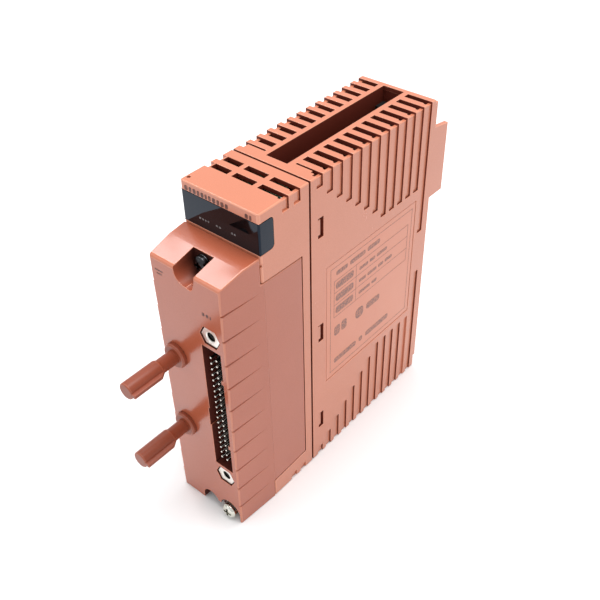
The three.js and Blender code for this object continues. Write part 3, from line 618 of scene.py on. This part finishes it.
JACK_X = 8.8
JACK_HEIGHTS = {"upper": 89.9, "lower": 22.5}
JACK_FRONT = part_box("jack_socket_upper")[0].y / MM + DEPTH_ORIGIN
PIN_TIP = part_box("signal_pins_left_row")[0].y / MM + DEPTH_ORIGIN


rounded_shell("name_plate", "name_plate_film", "label_film", [label_film], all_edges(0.08), 0.08, 2)
for side in ("upper", "lower"):
    rounded_shell(
        f"jack_socket_{side}", f"jack_socket_{side}_turned", "bright_metal",
        [jack_metal, jack_metal, thread_painted_shade], all_edges(0.16), 0.16, inner=jack_bore_painted_shade(JACK_HEIGHTS[side]),
    )
    rounded_shell(
        f"retaining_knob_{side}", f"retaining_knob_{side}_moulded", "knob_plastic", [knob_plastic, knob_edge],
        all_edges(0.24), 0.24, 4,
    )
    rounded_shell(
        f"adapter_screw_{side}", f"adapter_screw_{side}_turned", "dark_metal", [dark_metal],
        all_edges(0.1), 0.1, 2,
    )
for side in ("left", "right"):
    rounded_shell(
        f"signal_pins_{side}_row", f"signal_pins_{side}_plated", "gold_plating", [pin_shaft_painted_shade, pin_metal],
        tip_edges, 0.16, 1, inner=pin_tip,
    )
rounded_shell("fixing_screw", "fixing_screw_turned", "bright_metal", [bright], all_edges(0.14), 0.14, 3)
rounded_shell(
    "signal_header_body", "signal_header_moulding", "black_plastic", [matte_black], all_edges(0.1), 0.1, 2
)


def ring_solid(profile, steps=48):
    """A closed ring turned about Y from a profile of (radius, y) points in mm that closes on itself."""
    bm = bmesh.new()
    rings = []
    for step in range(steps):
        angle = 2 * math.pi * step / steps
        across, up = math.cos(angle), math.sin(angle)
        rings.append([bm.verts.new((r * MM * across, y * MM, r * MM * up)) for r, y in profile])
    for step, ring in enumerate(rings):
        after = rings[(step + 1) % steps]
        for i in range(len(profile)):
            k = (i + 1) % len(profile)
            bm.faces.new((ring[i], ring[k], after[k], after[i]))
    bmesh.ops.recalc_face_normals(bm, faces=bm.faces)
    return bm


def jack_thread(side, height):
    """The thread's crests in a jack socket's bore, in near-black nickel as painted shade."""
    pitch, root, crest, first, count = 0.7, 1.66, 1.42, 1.6, 8
    zigzag = [(root, first)]
    for turn in range(count):
        zigzag += [(crest, first + pitch * (turn + 0.5)), (root, first + pitch * (turn + 1))]
    outer = 1.69
    bm = ring_solid(zigzag + [(outer, zigzag[-1][1]), (outer, first)])
    bmesh.ops.translate(bm, verts=bm.verts, vec=at(JACK_X, 0, height))
    mesh = bpy.data.meshes.new(f"jack_thread_{side}")
    bm.to_mesh(mesh)
    bm.free()
    add_object(f"jack_thread_{side}", mesh, "adapter", slot_name="bright_metal", materials=[thread_painted_shade])


for side, height in JACK_HEIGHTS.items():
    jack_thread(side, height)

# ---------------------------------------------------------------- print

INK_THICKNESS = 0.03


def print_marks(name, origin, across, up, marks, ink, body="module"):
    """Thin raised bars with round corners. marks are (left, bottom, right, top) in mm along across and up."""
    across, up = Vector(across), Vector(up)
    out = across.cross(up)
    bm = bmesh.new()
    for left, bottom, right, top in marks:
        radius = 0.35 * min(right - left, top - bottom)
        lower, upper = [], []
        for turn, (cx, cy) in enumerate(
            ((right - radius, top - radius), (left + radius, top - radius),
             (left + radius, bottom + radius), (right - radius, bottom + radius))
        ):
            for step in range(4):
                angle = math.pi / 2 * (turn + step / 3)
                flat = across * (cx + radius * math.cos(angle)) + up * (cy + radius * math.sin(angle))
                lower.append(bm.verts.new(origin + flat * MM))
                upper.append(bm.verts.new(origin + (flat + out * INK_THICKNESS) * MM))
        bm.faces.new(upper)
        bm.faces.new(lower[::-1])
        for i in range(len(lower)):
            k = (i + 1) % len(lower)
            bm.faces.new((lower[i], lower[k], upper[k], upper[i]))
    mesh = bpy.data.meshes.new(name)
    bm.to_mesh(mesh)
    bm.free()
    add_object(name, mesh, body, slot_name="label_film", materials=[ink])


def dashes(start, level, height, lengths, gap):
    """A row of bars of the given lengths, from start along the first axis."""
    row = []
    for length in lengths:
        row.append((start, level, start + length, level + height))
        start += length + gap
    return row


def outline_bars(left, bottom, right, top, line):
    """The four lines of a frame."""
    return [
        (left, bottom, right, bottom + line), (left, top - line, right, top),
        (left, bottom, left + line, top), (right - line, bottom, right, top),
    ]


FRONTWARD = ((1, 0, 0), (0, 0, 1))
SIDEWARD = ((0, 1, 0), (0, 0, 1))
CLEAR = 0.01

band_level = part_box("indicator_window")[1].z / MM + 0.35
band_row = dashes(-14.6, band_level, 1.7, (1.5, 1.1, 1.3, 1.1, 1.2, 0.9, 1.1, 1.4, 1.1, 1.3, 1.2), 0.55)
band_row += dashes(11.0, band_level, 1.7, (1.2, 0.9), 0.5)
print_marks("band_print", at(0, 17.0 - CLEAR, 0), *FRONTWARD, band_row, ink_dark)
legend = dashes(-9.2, 118.3, 0.7, (0.9, 0.8, 0.9, 0.7), 0.4) + dashes(-1.8, 118.3, 0.7, (0.8, 0.9), 0.4)
legend += dashes(4.6, 118.3, 0.7, (0.8, 0.7), 0.4)
glass_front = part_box("indicator_window")[0].y
print_marks("window_legend", Vector((0, glass_front - CLEAR * MM, 0)), *FRONTWARD, legend, ink_pale)
face_marks = dashes(-13.2, 106.6, 0.5, (3.6,), 0) + dashes(-12.6, 105.3, 0.5, (2.4,), 0)
face_marks += dashes(6.6, 98.2, 1.3, (1.1, 1.1, 0.5), 0.6)
print_marks("front_face_print", at(0, -CLEAR, 0), *FRONTWARD, face_marks, ink_dark, "adapter")

plate_frame = outline_bars(51.2, 40.3, 100.8, 89.3, 0.22) + outline_bars(53.2, 66.4, 98.6, 83.2, 0.2)
plate_frame += [(53.2, 77.6, 98.6, 77.8), (53.2, 72.0, 98.6, 72.2), (66.0, 66.4, 66.2, 83.2)]
plate_text = dashes(54.4, 85.2, 1.9, (6.5, 9.0, 7.5), 1.4)
plate_text += [(54.2, z, 64.6, z + 3.0) for z in (67.8, 73.4, 79.0)]
plate_text += dashes(53.6, 57.2, 4.6, (3.4, 3.2), 0.8) + dashes(66.5, 56.6, 4.8, (4.8,), 0)
plate_text += dashes(73.2, 57.4, 3.0, (8.5,), 0) + dashes(53.6, 43.6, 2.3, (13.5, 2.2, 15.0), 2.0)
plate_fine = dashes(68.0, 79.4, 1.4, (5.2, 3.4, 6.4), 1.0)
plate_fine += dashes(68.0, 73.8, 1.4, (4.2, 5.6, 3.2, 4.6), 1.0)
plate_fine += dashes(68.0, 68.2, 1.4, (7.0, 3.2), 1.0)
plate_place = at(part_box("name_plate")[1].x / MM + CLEAR, 0, 0)
print_marks("name_plate_rules", plate_place, *SIDEWARD, plate_frame, ink_faded)
print_marks("name_plate_print", plate_place, *SIDEWARD, plate_text + plate_fine, ink_faded)

SLOT_MATERIALS = {
    "case_plastic": shell_plastic,
    "adapter_plastic": adapter_plastic,
    "knob_plastic": knob_plastic,
    "smoked_window": window_glass,
    "black_plastic": matte_black,
    "white_sheet": film_white,
    "lamp_plastic": lamp_clear,
    "circuit_board": board_green,
    "label_film": label_film,
    "bright_metal": bright,
    "dark_metal": dark_metal,
    "brass": brass,
    "gold_plating": gold,
    "ferrite": ferrite,
    "winding_tape": tape_yellow,
    "capacitor_sleeve": sleeve_blue,
}
DETAILED = {
    "rear_case", "front_cover", "adapter_housing", "indicator_window", "name_plate", "fixing_screw",
    "signal_header_body", "jack_socket_upper", "jack_socket_lower",
    "retaining_knob_upper", "retaining_knob_lower",
    "adapter_screw_upper", "adapter_screw_lower", "signal_pins_left_row", "signal_pins_right_row",
}
slot_of = {s["node"]: s["material_slot"] for s in frame["record"]["subparts"]}
for node, obj in frame["nodes"].items():
    material = SLOT_MATERIALS[slot_of[node]]
    obj.data.materials.clear()
    obj.data.materials.append(material)
    if node not in DETAILED:
        low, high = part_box(node)
        width = min(0.2, 0.08 * min(high - low) / MM)
        rounded_shell(
            node, f"{node}_finished", slot_of[node], [material], all_edges(width), width, 2, clamp=True
        )

# ---------------------------------------------------------------- floor, lights


def make_stage():
    mesh = bpy.data.meshes.new("floor")
    half = 4.0
    corners = [(-half, -half, 0), (half, -half, 0), (half, half, 0), (-half, half, 0)]
    mesh.from_pydata(corners, [], [(0, 1, 2, 3)])
    floor = bpy.data.objects.new("floor", mesh)
    bpy.context.scene.collection.objects.link(floor)
    floor.location.z = cad_low.z - 0.0002
    n = Nodes("floor_paper")
    tone = n.mix(n.band(n.noise(3, 3), 0.3, 0.7), (0.90, 0.90, 0.91), (0.93, 0.93, 0.935))
    mesh.materials.append(n.finish(tone, n.ramp(n.noise(40), 0.7, 0.85)))
    floor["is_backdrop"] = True


def area_light(name, place, target, size, power, colour):
    data = bpy.data.lights.new(name, "AREA")
    data.shape = "RECTANGLE"
    data.size, data.size_y = size
    data.energy = power
    data.color = colour
    light = bpy.data.objects.new(name, data)
    bpy.context.scene.collection.objects.link(light)
    light.location = place
    light.rotation_mode = "QUATERNION"
    light.rotation_quaternion = (Vector(target) - Vector(place)).to_track_quat("-Z", "Y")
    return light


def make_lights():
    world = bpy.data.worlds.new("studio")
    world.use_nodes = True
    background = world.node_tree.nodes["Background"]
    background.inputs["Color"].default_value = (1.0, 1.0, 1.0, 1.0)
    background.inputs["Strength"].default_value = 0.73
    bpy.context.scene.world = world
    target = (0, -0.04, 0.1)
    area_light("key", (-0.70, 0.10, 1.01), target, (0.42, 0.40), 3.3, (1.0, 1.0, 1.0))
    area_light("front", (-0.5, -0.85, 0.7), target, (0.5, 0.5), 0.92, (1.0, 1.0, 1.0))
    area_light("top", (0.1, 0.1, 1.1), target, (0.6, 0.6), 8.8, (1.0, 1.0, 1.0))
    bpy.context.scene.view_settings.view_transform = "Standard"


make_camera()
make_stage()
make_lights()

low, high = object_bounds()
